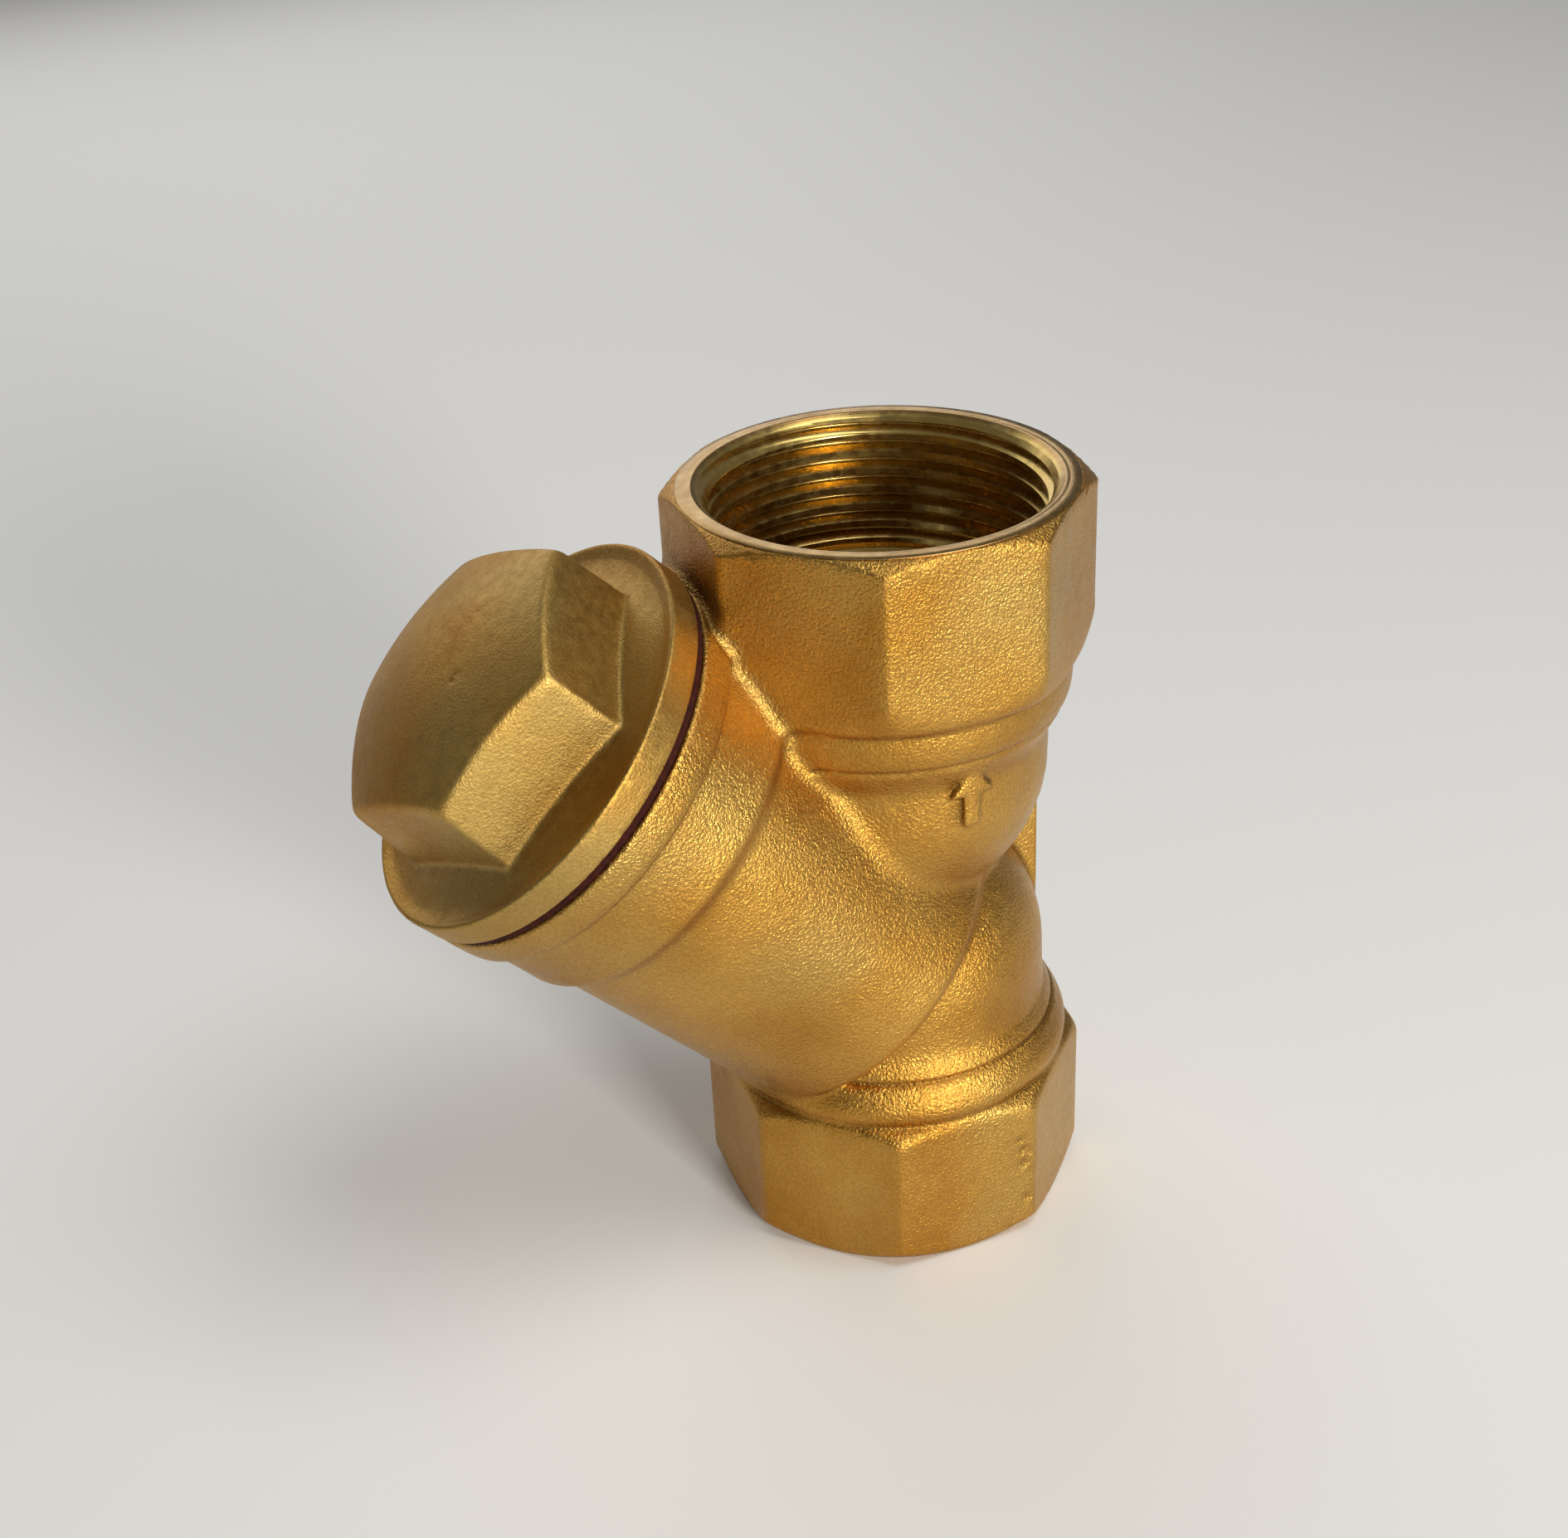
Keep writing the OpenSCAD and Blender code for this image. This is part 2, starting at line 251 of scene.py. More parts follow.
def body_field(x, y, z):
    rho = np.sqrt(x * x + y * y)
    t, rb = branch_coords(x, y, z)
    run = run_field(rho, x, y, z)
    tube = disc(rb, t - 27, TUBE_R, -19.6, 20, 2.0)
    band = disc(rb, t, BAND_R, 44.3, 56, 1.2)
    collar = disc(rb, t, COLLAR_R, 54.0, 58.1, 0.9)
    branch = smin(tube, band, 1.9)
    branch = smin(branch, collar, 0.7)
    branch = groove(branch, rb, t, 24.1, 53.7, 0.42)
    blend = 1.5 + 0.8 * ramp01(t, 12, 26)
    d = smin(run, branch, blend)
    d = smin(d, arrow_field(rho, x, y, z), 0.25)
    # turned cuts on the outside
    d = np.maximum(d, z - (RUN - 0.18))
    d = np.maximum(d, (rho - 23.2) * 0.555 + (z - RUN) * 0.832)
    d = np.maximum(d, 0.15 - z)
    d = np.maximum(d, (rho - 22.05) * 0.68 - z * 0.73)
    d = smax(d, -pits_field(x, y, z, PITS), 0.8)
    # passages
    inlet = np.sqrt(rho ** 2 + np.maximum(z - NECK_Z, 0) ** 2) - 16.6
    inlet = smax(inlet, t - 4.5, 1.0)
    inlet = smin(inlet, disc(rho, z, 21.2, -5, INLET_THREAD_LEN, 0.3), 0.6)
    outlet = np.sqrt(rho ** 2 + np.maximum(BOWL_Z - z, 0) ** 2) - 16.8
    outlet = smax(outlet, 9.4 - t, 1.0)
    outlet = smin(outlet, disc(rho, z, 21.2, RUN - OUTLET_THREAD_LEN, 110, 0.3), 0.6)
    chamber = disc(rb, t - 30, 18.6, -16.8, 20, 0.6)
    chamber = smin(chamber, disc(rb, t, 17.2, 8.6, 20, 0.6), 0.4)
    chamber = smin(chamber, disc(rb, t, 20.19, 45.0, 75, 0.2), 0.4)
    chamber = smin(chamber, disc(rb, t, 21.3, 50.4, 75, 0.1), 0.2)
    chamber = np.minimum(chamber, disc(rb, t, 15.95, 6.8, 12, 0.1))
    chamber = np.minimum(chamber, disc(rb, t, 13.5, 2, 12, 0.1))
    void = smin(np.minimum(inlet, chamber), outlet, 0.8)
    return np.maximum(d, -void)


# scuffs on the cap's end: centre on the cap's own axes and radius
SCUFFS = [(2.2, -6.8, 77.45, 0.45), (2.9, -6.5, 77.5, 0.4), (3.3, -7.2, 77.4, 0.35),
          (-9.5, -10.6, 75.75, 0.35), (-2.5, -13.2, 76.0, 0.35), (9.0, -1.0, 77.3, 0.35)]

# top of the flange, as (radius, height)
DISH = [(15.0, 64.0), (17.0, 63.65), (18.4, 63.35), (19.5, 63.1), (21.0, 62.8), (22.4, 62.7), (23.3, 62.85),
        (23.9, 63.15), (24.2, 63.25), (25.0, 63.3)]


def cap_field(x, y, z):
    rho = np.sqrt(x * x + y * y)
    flange = disc(rho, z, FLANGE_R, 56.0, 64.2, 0.2)
    flange = smax(flange, (z - profile(rho, DISH)) * 0.96, 0.45)
    flange = np.maximum(flange, FLANGE_LOW - z)
    # the hexagon came out of the die leaning a little
    lean = np.maximum(z - HEX_BASE, 0)
    hx, hy = x - 0.068 * lean, y - 0.01 * lean
    hrho = np.sqrt(hx * hx + hy * hy)
    faces = ngon(hx, hy, 6, HEX_APOTHEM, 30, 0.3) + (z - HEX_BASE) * 0.06
    shoulder = (ngon(hx, hy, 6, 17.7, 30, 3.0) * 2.453 + (z - 72.3)) / 2.649
    dome = np.sqrt(hrho ** 2 + (z - 32.65) ** 2) - 45.0
    head = smax(faces, smax(shoulder, dome, 0.9), 0.8)
    head = np.maximum(head, 59.4 - z)
    d = smin(flange, head, 0.7)
    d = smax(d, -pits_field(x, y, z, SCUFFS), 0.4)
    hollow = smin(disc(rho, z, 16.3, 50, 60.35, 0.2), disc(rho, z, 13.6, 50, 69.4, 3.0), 0.4)
    return np.maximum(d, -hollow)


# ---------------------------------------------------------------- turned and threaded rings
# shares of half a turn that a crest and a flank take up; the male crest is narrow, so that it clears
FEMALE_LAND, MALE_LAND, FLANK = 0.34, 0.08, 0.58
TIP_STEP = 0.05


def tooth(turns, land):
    """0 at the crest, 1 at the root of a symmetric thread, with softened ends; land is the crest's share."""
    from_crest = np.abs(2 * (turns % 1.0) - 1)
    v = np.clip((from_crest - land) / FLANK, 0, 1)
    return v * v * (3 - 2 * v) * 0.5 + v * 0.5


def threaded_ring(name, z0, z1, pitch, r_of, outline, n=192, branch=False, shift=0.0):
    """A closed ring: a helical wall from z0 to z1 with radius r_of(z, turns), then the plain (r, z) outline.

    The helix is right-handed, and shift lowers it by a share of its pitch.
    """
    samples = [0, .05, .1, .17, .25, .33, .4, .45, .5, .55, .6, .67, .75, .83, .9, .95]
    per_turn = len(samples)
    whole_turns = int(math.ceil((z1 - z0) / pitch)) + 1
    rows = [k + part for k in range(-1, whole_turns) for part in samples]
    theta = np.arange(n) * 2 * math.pi / n
    verts, index = [], []
    for turns in rows:
        z = np.clip(z0 + pitch * (turns - shift + theta / (2 * math.pi)), z0, z1)
        r = r_of(z, turns)
        index.append(len(verts))
        verts += list(zip(r * np.cos(theta), r * np.sin(theta), z))
    faces = []
    for a in range(len(rows) - 1):
        for i in range(n - 1):
            p, q = index[a], index[a + 1]
            faces.append((p + i, p + i + 1, q + i + 1, q + i))
        # the last column meets the first one, one turn further up
        if a + 1 + per_turn < len(rows):
            p, q = index[a + per_turn], index[a + 1 + per_turn]
            faces.append((index[a] + n - 1, p, q, index[a + 1] + n - 1))
    plain = []
    for r, z in outline:
        plain.append(len(verts))
        verts += list(zip(r * np.cos(theta), r * np.sin(theta), np.full(n, z)))
    for low, high in zip(plain, plain[1:]):
        for i in range(n):
            j = (i + 1) % n
            faces.append((low + i, low + j, high + j, high + i))
    return weld(new_object(name, to_row(verts, branch), faces), 2e-6, sharp=50)


def female(z0, z1, minor, major, mouth_r, top, runout=1.2):
    """Radius of a female thread between z0 and z1; top says whether the mouth is at z1."""
    def r_of(z, turns):
        r = minor + (major - minor) * tooth(turns, FEMALE_LAND)
        out = (z1 - z) if top else (z - z0)
        into = (z - z0) if top else (z1 - z)
        fade = np.clip(into / runout, 0, 1)
        r = minor + (r - minor) * fade
        # the roots run out into the mouth, so that the wall ends on one plain circle
        r = np.where(r > mouth_r, mouth_r + (r - mouth_r) * np.clip(out / 0.6, 0, 1), r)
        lead = mouth_r - out * 0.62
        return np.maximum(r, lead)
    return r_of


def male(z0, z1, minor, major):
    """Radius of a male thread between z0 and z1, whose tip is at z0."""
    def r_of(z, turns):
        r = major - (major - minor) * tooth(turns, MALE_LAND)
        fade = np.clip((z1 - z) / 0.8, 0, 1)
        r = minor + (r - minor) * fade
        return np.minimum(r, minor - TIP_STEP + (z - z0))
    return r_of


# ---------------------------------------------------------------- materials
def material(name):
    """A new material with its node tree and principled shader."""
    m = bpy.data.materials.new(name)
    m.use_nodes = True
    nt = m.node_tree
    nt.nodes.clear()
    out = nt.nodes.new("ShaderNodeOutputMaterial")
    sh = nt.nodes.new("ShaderNodeBsdfPrincipled")
    nt.links.new(sh.outputs[0], out.inputs[0])
    return m, nt, sh


def node(nt, kind, **kw):
    """A new node with its inputs or settings filled in."""
    n = nt.nodes.new(kind)
    for k, v in kw.items():
        if k in n.inputs:
            n.inputs[k].default_value = v
        else:
            setattr(n, k, v)
    return n


def noise(nt, coord, scale, detail=2.0, rough=0.5):
    n = node(nt, "ShaderNodeTexNoise", Scale=scale, Detail=detail, Roughness=rough)
    nt.links.new(coord, n.inputs["Vector"])
    return n.outputs["Fac"]


def ramp(nt, fac, stops):
    n = nt.nodes.new("ShaderNodeValToRGB")
    while len(n.color_ramp.elements) < len(stops):
        n.color_ramp.elements.new(0.5)
    for e, (p, c) in zip(n.color_ramp.elements, stops):
        e.position = p
        e.color = (*c, 1) if len(c) == 3 else c
    nt.links.new(fac, n.inputs[0])
    return n.outputs[0]


def maprange(nt, v, a, b, c, d):
    n = nt.nodes.new("ShaderNodeMapRange")
    n.inputs[1].default_value, n.inputs[2].default_value = a, b
    n.inputs[3].default_value, n.inputs[4].default_value = c, d
    nt.links.new(v, n.inputs[0])
    return n.outputs[0]


def bump(nt, height, strength, distance, normal=None):
    n = nt.nodes.new("ShaderNodeBump")
    n.inputs["Strength"].default_value = strength
    n.inputs["Distance"].default_value = distance
    nt.links.new(height, n.inputs["Height"])
    if normal is not None:
        nt.links.new(normal, n.inputs["Normal"])
    return n.outputs[0]


def mix(nt, fac, a, b, kind="MIX"):
    """Colour mix; a and b are sockets or plain colours."""
    n = nt.nodes.new("ShaderNodeMix")
    n.data_type = "RGBA"
    n.blend_type = kind
    for socket, v in ((n.inputs[0], fac), (n.inputs[6], a), (n.inputs[7], b)):
        if isinstance(v, bpy.types.NodeSocket):
            nt.links.new(v, socket)
        else:
            socket.default_value = (*v, 1) if isinstance(v, tuple) else v
    return n.outputs[2]


def brass(name, light, dark, olive, rough, grain, sparkle):
    """Blasted forging: colour blotches, painted shade darkening the creases and a coarse glittering grain.
    """
    m, nt, sh = material(name)
    co = nt.nodes.new("ShaderNodeTexCoord").outputs["Object"]
    geo = nt.nodes.new("ShaderNodeNewGeometry")
    col = ramp(nt, noise(nt, co, 55, 3, 0.55), [(0.34, dark), (0.66, light)])
    col = mix(nt, maprange(nt, noise(nt, co, 38, 2, 0.5), 0.48, 0.68, 0.0, 0.6), col, olive)
    fine = noise(nt, co, grain, 2, 0.6)
    col = mix(nt, maprange(nt, fine, 0.35, 0.65, 0.0, 0.30), col, dark, "MULTIPLY")
    # painted shade: concave creases, found by pointiness, are darkened towards a deep brown
    crease_shade = maprange(nt, geo.outputs["Pointiness"], 0.435, 0.495, 0.8, 0.0)
    col = mix(nt, crease_shade, col, (0.10, 0.045, 0.012))
    nt.links.new(col, sh.inputs["Base Color"])
    sh.inputs["Metallic"].default_value = 1.0
    mid = noise(nt, co, 700, 2, 0.6)
    nt.links.new(maprange(nt, mid, 0.3, 0.7, rough - 0.06, rough + 0.08), sh.inputs["Roughness"])
    b1 = bump(nt, fine, sparkle, 0.00035)
    b2 = bump(nt, noise(nt, co, 420, 2, 0.5), 0.12, 0.0004, b1)
    nt.links.new(b2, sh.inputs["Normal"])
    return m


def turned(name, light, dark, rough, face=None):
    """Turned metal with fine tool marks; past the radius face[0] it takes the colours face[1:]."""
    m, nt, sh = material(name)
    co = nt.nodes.new("ShaderNodeTexCoord").outputs["Object"]
    blot = noise(nt, co, 160, 3, 0.6)
    col = ramp(nt, blot, [(0.3, dark), (0.7, light)])
    if face:
        sep = nt.nodes.new("ShaderNodeSeparateXYZ")
        nt.links.new(co, sep.inputs[0])
        flat = nt.nodes.new("ShaderNodeCombineXYZ")
        nt.links.new(sep.outputs[0], flat.inputs[0])
        nt.links.new(sep.outputs[1], flat.inputs[1])
        length = nt.nodes.new("ShaderNodeVectorMath")
        length.operation = "LENGTH"
        nt.links.new(flat.outputs[0], length.inputs[0])
        rad = length.outputs["Value"]
        outer = ramp(nt, blot, [(0.3, face[2]), (0.7, face[1])])
        past = maprange(nt, rad, face[0] - 0.0002, face[0] + 0.0001, 0, 1)
        col = mix(nt, past, col, outer)
        wave = nt.nodes.new("ShaderNodeMath")
        wave.operation = "SINE"
        scale = nt.nodes.new("ShaderNodeMath")
        scale.operation = "MULTIPLY"
        scale.inputs[1].default_value = 24000.0
        nt.links.new(rad, scale.inputs[0])
        nt.links.new(scale.outputs[0], wave.inputs[0])
        marks = nt.nodes.new("ShaderNodeMath")
        marks.operation = "MULTIPLY"
        nt.links.new(maprange(nt, wave.outputs[0], -1, 1, 0, 1), marks.inputs[0])
        nt.links.new(past, marks.inputs[1])
        lines = marks.outputs[0]
    nt.links.new(col, sh.inputs["Base Color"])
    sh.inputs["Metallic"].default_value = 1.0
    patches = noise(nt, co, 700, 2, 0.5)
    nt.links.new(maprange(nt, patches, 0.3, 0.7, rough - 0.06, rough + 0.08), sh.inputs["Roughness"])
    n1 = bump(nt, noise(nt, co, 1900, 2, 0.5), 0.04, 0.0001)
    nt.links.new(bump(nt, lines, 0.10, 0.00005, n1) if face else n1, sh.inputs["Normal"])
    return m


def steel(name, color, rough, grain=3000):
    """Stainless steel sheet or wire with faint blotches."""
    m, nt, sh = material(name)
    co = nt.nodes.new("ShaderNodeTexCoord").outputs["Object"]
    col = ramp(nt, noise(nt, co, 200, 3, 0.6), [(0.3, tuple(c * 0.84 for c in color)), (0.7, color)])
    nt.links.new(col, sh.inputs["Base Color"])
    sh.inputs["Metallic"].default_value = 1.0
    patches = noise(nt, co, 1500, 2, 0.5)
    nt.links.new(maprange(nt, patches, 0.3, 0.7, rough - 0.06, rough + 0.08), sh.inputs["Roughness"])
    nt.links.new(bump(nt, noise(nt, co, grain, 2, 0.5), 0.12, 0.0001), sh.inputs["Normal"])
    return m


def fibre(name):
    """Dark red pressed fibre, dull and a little fluffy."""
    m, nt, sh = material(name)
    co = nt.nodes.new("ShaderNodeTexCoord").outputs["Object"]
    col = ramp(nt, noise(nt, co, 1200, 3, 0.6), [(0.3, (0.022, 0.004, 0.003)), (0.7, (0.055, 0.010, 0.006))])
    nt.links.new(col, sh.inputs["Base Color"])
    sh.inputs["Roughness"].default_value = 0.85
    sh.inputs["Specular IOR Level"].default_value = 0.15
    nt.links.new(bump(nt, noise(nt, co, 2600, 3, 0.6), 0.5, 0.0002), sh.inputs["Normal"])
    return m


BODY_BRASS = brass(
    "body_brass", light=(0.64, 0.37, 0.08), dark=(0.48, 0.235, 0.036), olive=(0.53, 0.37, 0.115),
    rough=0.33, grain=2900, sparkle=0.55)
CAP_BRASS = brass(
    "cap_brass", light=(0.58, 0.335, 0.07), dark=(0.45, 0.23, 0.035), olive=(0.49, 0.375, 0.135),
    rough=0.47, grain=3200, sparkle=0.24)
TURNED = turned("turned_brass", light=(0.62, 0.445, 0.15), dark=(0.52, 0.365, 0.11), rough=0.27,
                face=(0.0210, (0.49, 0.32, 0.125), (0.34, 0.20, 0.065)))
THREAD = turned("thread_brass", light=(0.50, 0.29, 0.08), dark=(0.40, 0.21, 0.05), rough=0.28)
STEEL = steel("screen_steel", (0.60, 0.60, 0.59), 0.3)
WIRE = steel("mesh_steel", (0.5, 0.5, 0.49), 0.35)
RIM = steel("rim_steel", (0.56, 0.56, 0.55), 0.33, 2200)
FIBRE = fibre("gasket_fibre")


def dress(obj, mat, body, slot, *nodes):
    """Gives a piece its material and its moving body, and hides the CAD nodes that it replaces; slot is not
    used.
    """
    obj.data.materials.clear()
    obj.data.materials.append(mat)
    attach(obj, body)
    if nodes:
        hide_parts(*nodes)
    return obj


# ---------------------------------------------------------------- body
H_BODY = 0.29
forging = sdf_mesh("forged_body", body_field, (-61, -26, -1), (25, 26, 98), H_BODY)
dress(forging, BODY_BRASS, "casting", "body_brass", "body")


def port(name, z_in, z_face, outer):
    """Thread, lead-in and turned face of one port; z_face is its end and outer the radius of its face."""
    top = z_face > z_in
    sign = 1 if top else -1
    lead_depth = 0.5
    runout = 3.0
    z0, z1 = sorted((z_in, z_face - sign * lead_depth))
    # radius and depth below the face, from the lead-in out to the rim and down behind it
    face = [(MOUTH_R, lead_depth), (MOUTH_R + 0.2, 0.42), (MOUTH_R + 0.3, 0.30), (21.12, 0.22),
            (21.28, 0.04), (21.4, 0.0), (21.72, 0.0), (21.84, 0.03), (21.96, 0.0), (outer, 0.0),
            (outer + 0.12, 0.1), (outer + 0.1, 0.3), (21.9, 1.2), (21.3, 1.4)]
    # the inner end is a cone, which keeps clear of the cap's thread
    end = [(21.3, z_in + sign * 3.3), (19.9, z_in), (PIPE_MINOR, z_in)]
    rows = [(r, z_face - sign * depth) for r, depth in face] + end
    r_of = female(z0, z1, PIPE_MINOR, PIPE_MAJOR, MOUTH_R, top, runout)
    return threaded_ring(name, z0, z1, PIPE_PITCH, r_of, rows)


outlet_thread = port("outlet_thread", RUN - OUTLET_THREAD_LEN, RUN, 23.1)
inlet_thread = port("inlet_thread", INLET_THREAD_LEN, 0, 22.1)
for ring in (outlet_thread, inlet_thread):
    dress(ring, TURNED, "casting", "body_brass", "body")

# share of a turn that puts the cap's crests, half a turn above its thread's start, in the branch's roots
MESH_SHIFT = -(CAP_THREAD_LOW + 0.5 * CAP_PITCH - BRANCH_THREAD_LOW) / CAP_PITCH % 1
mouth = threaded_ring(
    "branch_thread", BRANCH_THREAD_LOW, BRANCH_THREAD_HIGH, CAP_PITCH,
    female(BRANCH_THREAD_LOW, BRANCH_THREAD_HIGH, BRANCH_MINOR, BRANCH_MAJOR, 21.1, True),
    [(21.1, BRANCH_THREAD_HIGH), (21.15, 58.15), (21.3, COLLAR_TOP), (24.0, COLLAR_TOP), (24.3, 58.25),
     (24.5, 58.1), (24.58, 57.85), (24.6, 57.5), (24.6, 56.6), (24.58, 55.4), (24.5, 54.5), (24.3, 54.1),
     (23.6, 53.9), (23.4, 57.0), (21.4, 57.3), (21.4, BRANCH_THREAD_LOW), (BRANCH_MINOR, BRANCH_THREAD_LOW)],
    branch=True, shift=MESH_SHIFT)
dress(mouth, BODY_BRASS, "casting", "body_brass", "body")

# ---------------------------------------------------------------- cap
H_CAP = 0.22
head = sdf_mesh("forged_cap", cap_field, (-25.4, -25.4, 58.8), (25.4, 25.4, 79.4), H_CAP, branch=True)
dress(head, CAP_BRASS, "screw_cap", "cap_brass", "cap")
spigot = threaded_ring(
    "cap_thread", CAP_THREAD_LOW, CAP_THREAD_HIGH, CAP_PITCH,
    male(CAP_THREAD_LOW, CAP_THREAD_HIGH, CAP_MINOR, CAP_MAJOR),
    [(CAP_MINOR, CAP_THREAD_HIGH), (19.2, 57.6), (19.2, 59.3), (23.6, 59.3), (23.7, 59.45), (18.0, 60.0),
     (16.5, 60.2), (16.3, 60.0), (16.3, 47.1), (17.1, 46.3), (19.6, 46.3), (19.8, 46.6), (19.8, 49.9),
     (CAP_MINOR - TIP_STEP, CAP_THREAD_LOW)],
    branch=True)
dress(spigot, THREAD, "screw_cap", "cap_brass", "cap")


# ---------------------------------------------------------------- gasket and screen
def lathe(name, profile, n=160, branch=True, wobble=None, sharp=45):
    """A closed ring from a closed (r, z) profile; wobble(theta, r, z) may shift points."""
    theta = np.arange(n) * 2 * math.pi / n
    verts, rows = [], []
    for (r, z) in profile:
        rr, zz = np.full(n, float(r)), np.full(n, float(z))
        if wobble:
            rr, zz = wobble(theta, rr, zz)
        rows.append(len(verts))
        verts += list(zip(rr * np.cos(theta), rr * np.sin(theta), zz))
    faces = []
    for a in range(len(rows)):
        b = (a + 1) % len(rows)
        for i in range(n):
            j = (i + 1) % n
            faces.append((rows[a] + i, rows[a] + j, rows[b] + j, rows[b] + i))
    return weld(new_object(name, to_row(verts, branch), faces), 1e-7, sharp=sharp)


gasket = lathe("gasket_ring", [
    (20.5, 58.34), (20.7, COLLAR_TOP), (24.05, COLLAR_TOP), (24.22, 58.4), (24.28, 58.6), (24.3, 58.8),
    (24.28, 59.0), (24.22, 59.2), (24.05, 59.3), (20.7, 59.3), (20.5, 59.26)])
dress(gasket, FIBRE, "gasket_ring", "gasket_fibre", "cap_gasket")

LAP = 0.65
SCREEN_LOW, SCREEN_HIGH = 6.85, 60.2
SLEEVE_LOW, SLEEVE_HIGH = SCREEN_LOW + LAP, SCREEN_HIGH - LAP


def perforated(name, r_out, r_in, z0, z1, rows, per_row, hole, first, last):
    """Rolled sheet with staggered round holes: each cell is a ring of quads round one hole."""
    pitch_a, pitch_z = 2 * math.pi / per_row, (last - first) / rows
    # a cell's outline as shares of its half width and half height, round once
    edge = [(-1, -1), (-.5, -1), (0, -1), (.5, -1), (1, -1), (1, -.5), (1, 0), (1, .5),
            (1, 1), (.5, 1), (0, 1), (-.5, 1), (-1, 1), (-1, .5), (-1, 0), (-1, -.5)]
    verts, faces = [], []

    def add(angle, z, r):
        verts.append((r * math.cos(angle), r * math.sin(angle), z))
        return len(verts) - 1
    for row in range(rows):
        zc = first + (row + 0.5) * pitch_z
        for k in range(per_row):
            ac = (k + 0.5 * (row % 2)) * pitch_a
            loops = []
            for r in (r_out, r_in):
                outer = [add(ac + a * pitch_a / 2, zc + b * pitch_z / 2, r) for a, b in edge]
                inner = []
                for a, b in edge:
                    turn = math.atan2(b * pitch_z, a * pitch_a * r_out)
                    inner.append(add(ac + hole * math.cos(turn) / r_out, zc + hole * math.sin(turn), r))
                loops.append((outer, inner))
            (oo, oi), (io, ii) = loops
            for i in range(16):
                j = (i + 1) % 16
                faces.append((oo[i], oo[j], oi[j], oi[i]))
                faces.append((io[j], io[i], ii[i], ii[j]))
                faces.append((oi[i], oi[j], ii[j], ii[i]))
    # plain margins at both ends
    steps = per_row * 4
    for za, zb, low in ((z0, first, True), (last, z1, False)):
        ring = [[add(i * 2 * math.pi / steps, z, r) for i in range(steps)]
                for r, z in ((r_out, za), (r_out, zb), (r_in, zb), (r_in, za))]
        for i in range(steps):
            j = (i + 1) % steps
            faces.append((ring[0][i], ring[0][j], ring[1][j], ring[1][i]))
            faces.append((ring[2][i], ring[2][j], ring[3][j], ring[3][i]))
            end = (ring[3], ring[0]) if low else (ring[1], ring[2])
            faces.append((end[0][i], end[0][j], end[1][j], end[1][i]))
    return weld(new_object(name, to_row(verts, True), faces), 4e-6, sharp=40)


def woven(name, radius, wire, z0, z1, around, rings):
    """Plain weave rolled into a tube: straight wires and hoops that pass over and under each other."""
    verts, faces = [], []
    swing = wire * 0.5

    def tube(path, normal, side, closed):
        n = len(path)
        first = len(verts)
        for p, q, w in zip(path, normal, side):
            for a, b in ((1, 0), (0, 1), (-1, 0), (0, -1)):
                verts.append(tuple(p[i] + (q[i] * a + w[i] * b) * wire * 0.5 for i in range(3)))
        for i in range(n if closed else n - 1):
            j = (i + 1) % n
            for k in range(4):
                l = (k + 1) % 4
                faces.append((first + i * 4 + k, first + i * 4 + l, first + j * 4 + l, first + j * 4 + k))
        if not closed:
            faces.append(tuple(first + k for k in range(4)))
            faces.append(tuple(first + (n - 1) * 4 + k for k in (3, 2, 1, 0)))
    gap = (z1 - z0) / rings
    for k in range(around):
        a = 2 * math.pi * k / around
        out, tan = (math.cos(a), math.sin(a), 0.0), (-math.sin(a), math.cos(a), 0.0)
        path = []
        for i in range(rings * 2 + 1):
            r = radius + swing * math.sin(math.pi * i / 2) * (1 if k % 2 else -1)
            path.append((r * out[0], r * out[1], z0 + i * gap / 2))
        tube(path, [out] * len(path), [tan] * len(path), False)
    for j in range(rings):
        z = z0 + (j + 0.5) * gap
        path, normal = [], []
        for i in range(around * 2):
            a = math.pi * i / around
            r = radius + swing * math.cos(math.pi * i / 2) * (-1 if j % 2 else 1)
            path.append((r * math.cos(a), r * math.sin(a), z))
            normal.append((math.cos(a), math.sin(a), 0.0))
        tube(path, normal, [(0.0, 0.0, 1.0)] * len(path), True)
    return new_object(name, to_row(verts, True), faces)


def rim(name, at, sign):
    """Folded rim with crimps pressed into its outer skirt."""
    rows = [(14.3, 0.0), (14.75, 0.0), (15.4, 0.0), (15.6, 0.06), (15.72, 0.2), (15.75, 0.4), (15.75, 1.0),
            (15.75, 1.6), (15.75, 2.3), (15.72, 2.85), (15.62, 3.0), (15.4, 3.0), (15.33, 2.9), (15.33, 0.7),
            (15.2, 0.64), (14.7, 0.64), (14.53, 0.7), (14.53, 2.9), (14.46, 3.0), (14.3, 3.0), (14.22, 2.9),
            (14.2, 2.6), (14.2, 0.4), (14.22, 0.12)]

    def crimp(theta, r, z):
        h = sign * (z - at)
        press = np.clip(np.cos(theta * 24) * 4 - 3, 0, 1) * np.clip(1 - np.abs(h - 2.0) / 0.8, 0, 1)
        return np.where(r > 15.5, r - 0.12 * press, r), z
    return lathe(name, [(r, at + sign * h) for r, h in rows], n=288, wobble=crimp)


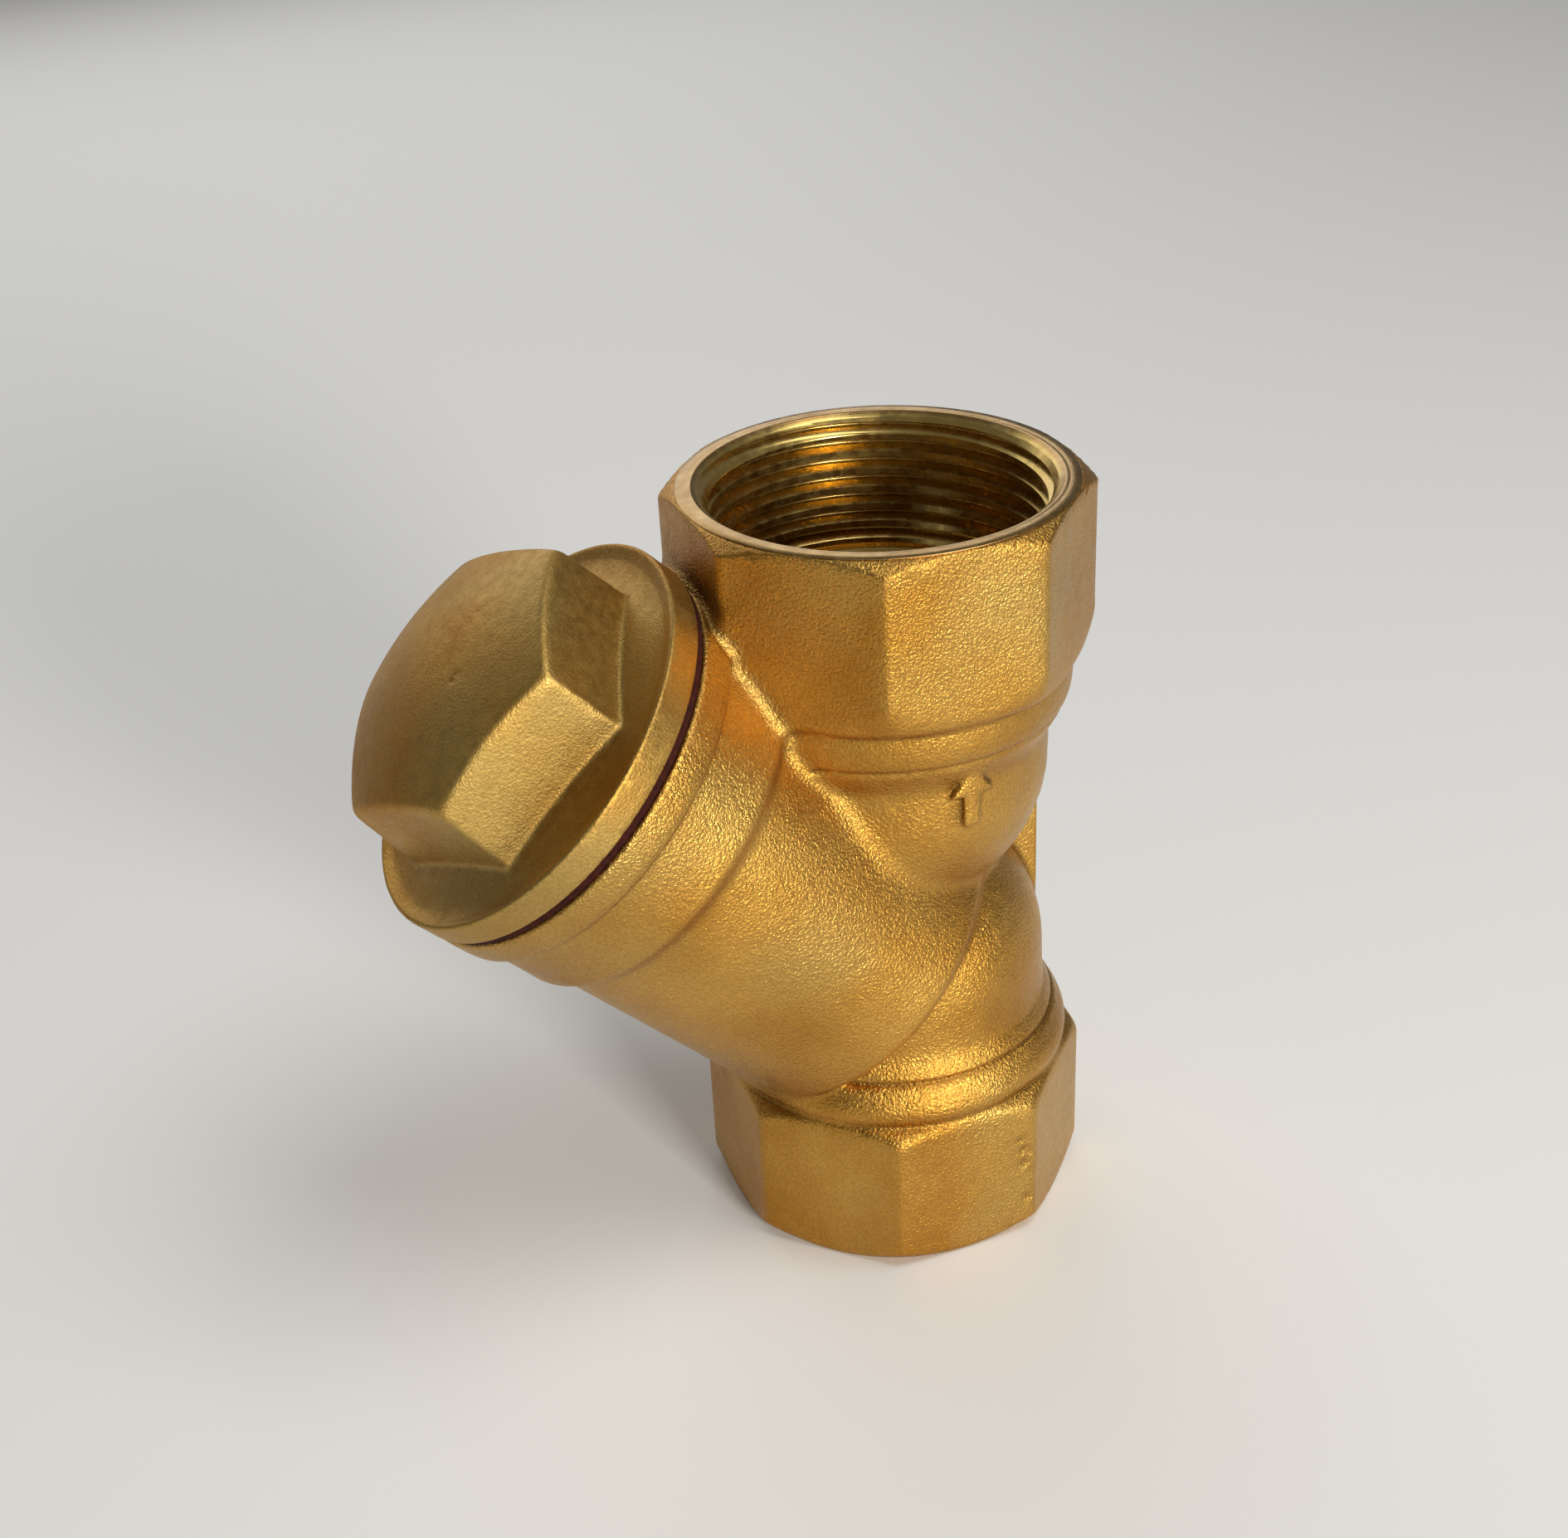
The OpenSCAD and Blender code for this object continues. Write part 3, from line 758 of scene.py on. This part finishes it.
def seam(name, z0, z1):
    """Lap strip with a row of spot welds pressed into it."""
    nu, nz = 22, int((z1 - z0) / 0.22)
    half = 2.45 / 15.5
    welds = [z0 + 2.4 + i * 4.2 for i in range(int((z1 - z0 - 3) / 4.2) + 1)]
    top, low = [], []
    for j in range(nz + 1):
        z = z0 + (z1 - z0) * j / nz
        for i in range(nu + 1):
            a = -half + 2 * half * i / nu
            edge = min(i, nu - i) / 2.0
            lift = 0.36 - 0.14 * max(0.0, 1 - edge)
            near = min(math.hypot(a * 15.5, z - w) for w in welds)
            lift -= 0.16 * max(0.0, 1 - (near / 1.0) ** 2)
            top.append(((15.34 + lift) * math.cos(a), (15.34 + lift) * math.sin(a), z))
            low.append((15.33 * math.cos(a), 15.33 * math.sin(a), z))
    m = len(top)
    verts = top + low
    w = nu + 1
    faces = []
    for j in range(nz):
        for i in range(nu):
            a = j * w + i
            faces.append((a, a + 1, a + 1 + w, a + w))
            faces.append((m + a + w, m + a + 1 + w, m + a + 1, m + a))
    for j in range(nz):
        for i in (0, nu):
            a = j * w + i
            faces.append((a, a + w, m + a + w, m + a))
    for i in range(nu):
        for j in (0, nz):
            a = j * w + i
            faces.append((a, a + 1, m + a + 1, m + a))
    return weld(new_object(name, to_row(verts, True), faces), 1e-7, sharp=45)


sleeve = perforated("perforated_sleeve", 15.3, 14.8, SLEEVE_LOW, SLEEVE_HIGH, 24, 44, 0.72, 11.2, 55.9)
dress(sleeve, STEEL, "screen_basket", "screen_steel", "screen")
liner = woven("woven_liner", 14.67, 0.108, SLEEVE_LOW, SLEEVE_HIGH, 78, 44)
dress(liner, WIRE, "screen_basket", "mesh_steel", "screen_mesh")
seat_rim = rim("seat_rim", SCREEN_LOW, 1)
dress(seat_rim, RIM, "screen_basket", "rim_steel", "screen_seat_ring")
cap_rim = rim("cap_rim", SCREEN_HIGH, -1)
dress(cap_rim, RIM, "screen_basket", "rim_steel", "screen_cap_ring")
lap_seam = seam("lap_seam", SCREEN_LOW + 3.2, SCREEN_HIGH - 3.2)
dress(lap_seam, RIM, "screen_basket", "rim_steel", "screen_seam")

# ---------------------------------------------------------------- stage, light, camera
floor_mesh = bpy.data.meshes.new("floor")
floor_mesh.from_pydata([(-3, -3, 0), (3, -3, 0), (3, 3, 0), (-3, 3, 0)], [], [(0, 1, 2, 3)])
floor = bpy.data.objects.new("floor", floor_mesh)
bpy.context.collection.objects.link(floor)
floor.location = (0, 0, cad_box[0][2])
pale, _, pale_shader = material("floor_pale")
pale_shader.inputs["Base Color"].default_value = (0.90, 0.90, 0.89, 1)
pale_shader.inputs["Roughness"].default_value = 0.6
floor.data.materials.append(pale)


def area(name, at, aim, size, power, color=(1, 1, 1)):
    """A rectangular lamp at one point, turned towards another."""
    light = bpy.data.lights.new(name, "AREA")
    light.shape = "RECTANGLE"
    light.size, light.size_y = size
    light.energy = power
    light.color = color
    o = bpy.data.objects.new(name, light)
    bpy.context.collection.objects.link(o)
    o.location = at
    o.rotation_euler = (Vector(aim) - Vector(at)).to_track_quat("-Z", "Y").to_euler()
    return o


AIM = (-0.01, 0, 0.05)
area("key", (0.12, -0.86, 0.30), AIM, (0.20, 0.20), 6.1, (1.0, 0.97, 0.90))
area("top", (0.25, -0.28, 0.85), AIM, (0.5, 0.5), 3.0)
area("back", (-0.05, 0.85, 0.50), AIM, (1.1, 0.6), 2.6)

world = bpy.data.worlds.new("studio")
bpy.context.scene.world = world
world.use_nodes = True
sky = world.node_tree.nodes["Background"]
sky.inputs[0].default_value = (0.95, 0.92, 0.86, 1)
sky.inputs[1].default_value = 0.17

cam_data = bpy.data.cameras.new("camera")
cam = bpy.data.objects.new("camera", cam_data)
bpy.context.collection.objects.link(cam)
az, el, roll = math.radians(-20.77), math.radians(29.33), math.radians(-3.01)
DISTANCE = 0.26945
back = Vector((math.sin(az) * math.cos(el), -math.cos(az) * math.cos(el), math.sin(el)))
level = Vector((math.cos(az), math.sin(az), 0))
upright = back.cross(level)
right = math.cos(roll) * level + math.sin(roll) * upright
up = -math.sin(roll) * level + math.cos(roll) * upright
target = Vector((-0.01154, 0.00438, 0.05936))
turn = Matrix((right, up, back)).transposed().to_4x4()
cam.matrix_world = Matrix.Translation(target + back * DISTANCE) @ turn
cam_data.sensor_width = 36
cam_data.lens = 50.578
cam_data.clip_start = 0.01
bpy.context.scene.camera = cam
bpy.context.scene.view_settings.view_transform = "Standard"
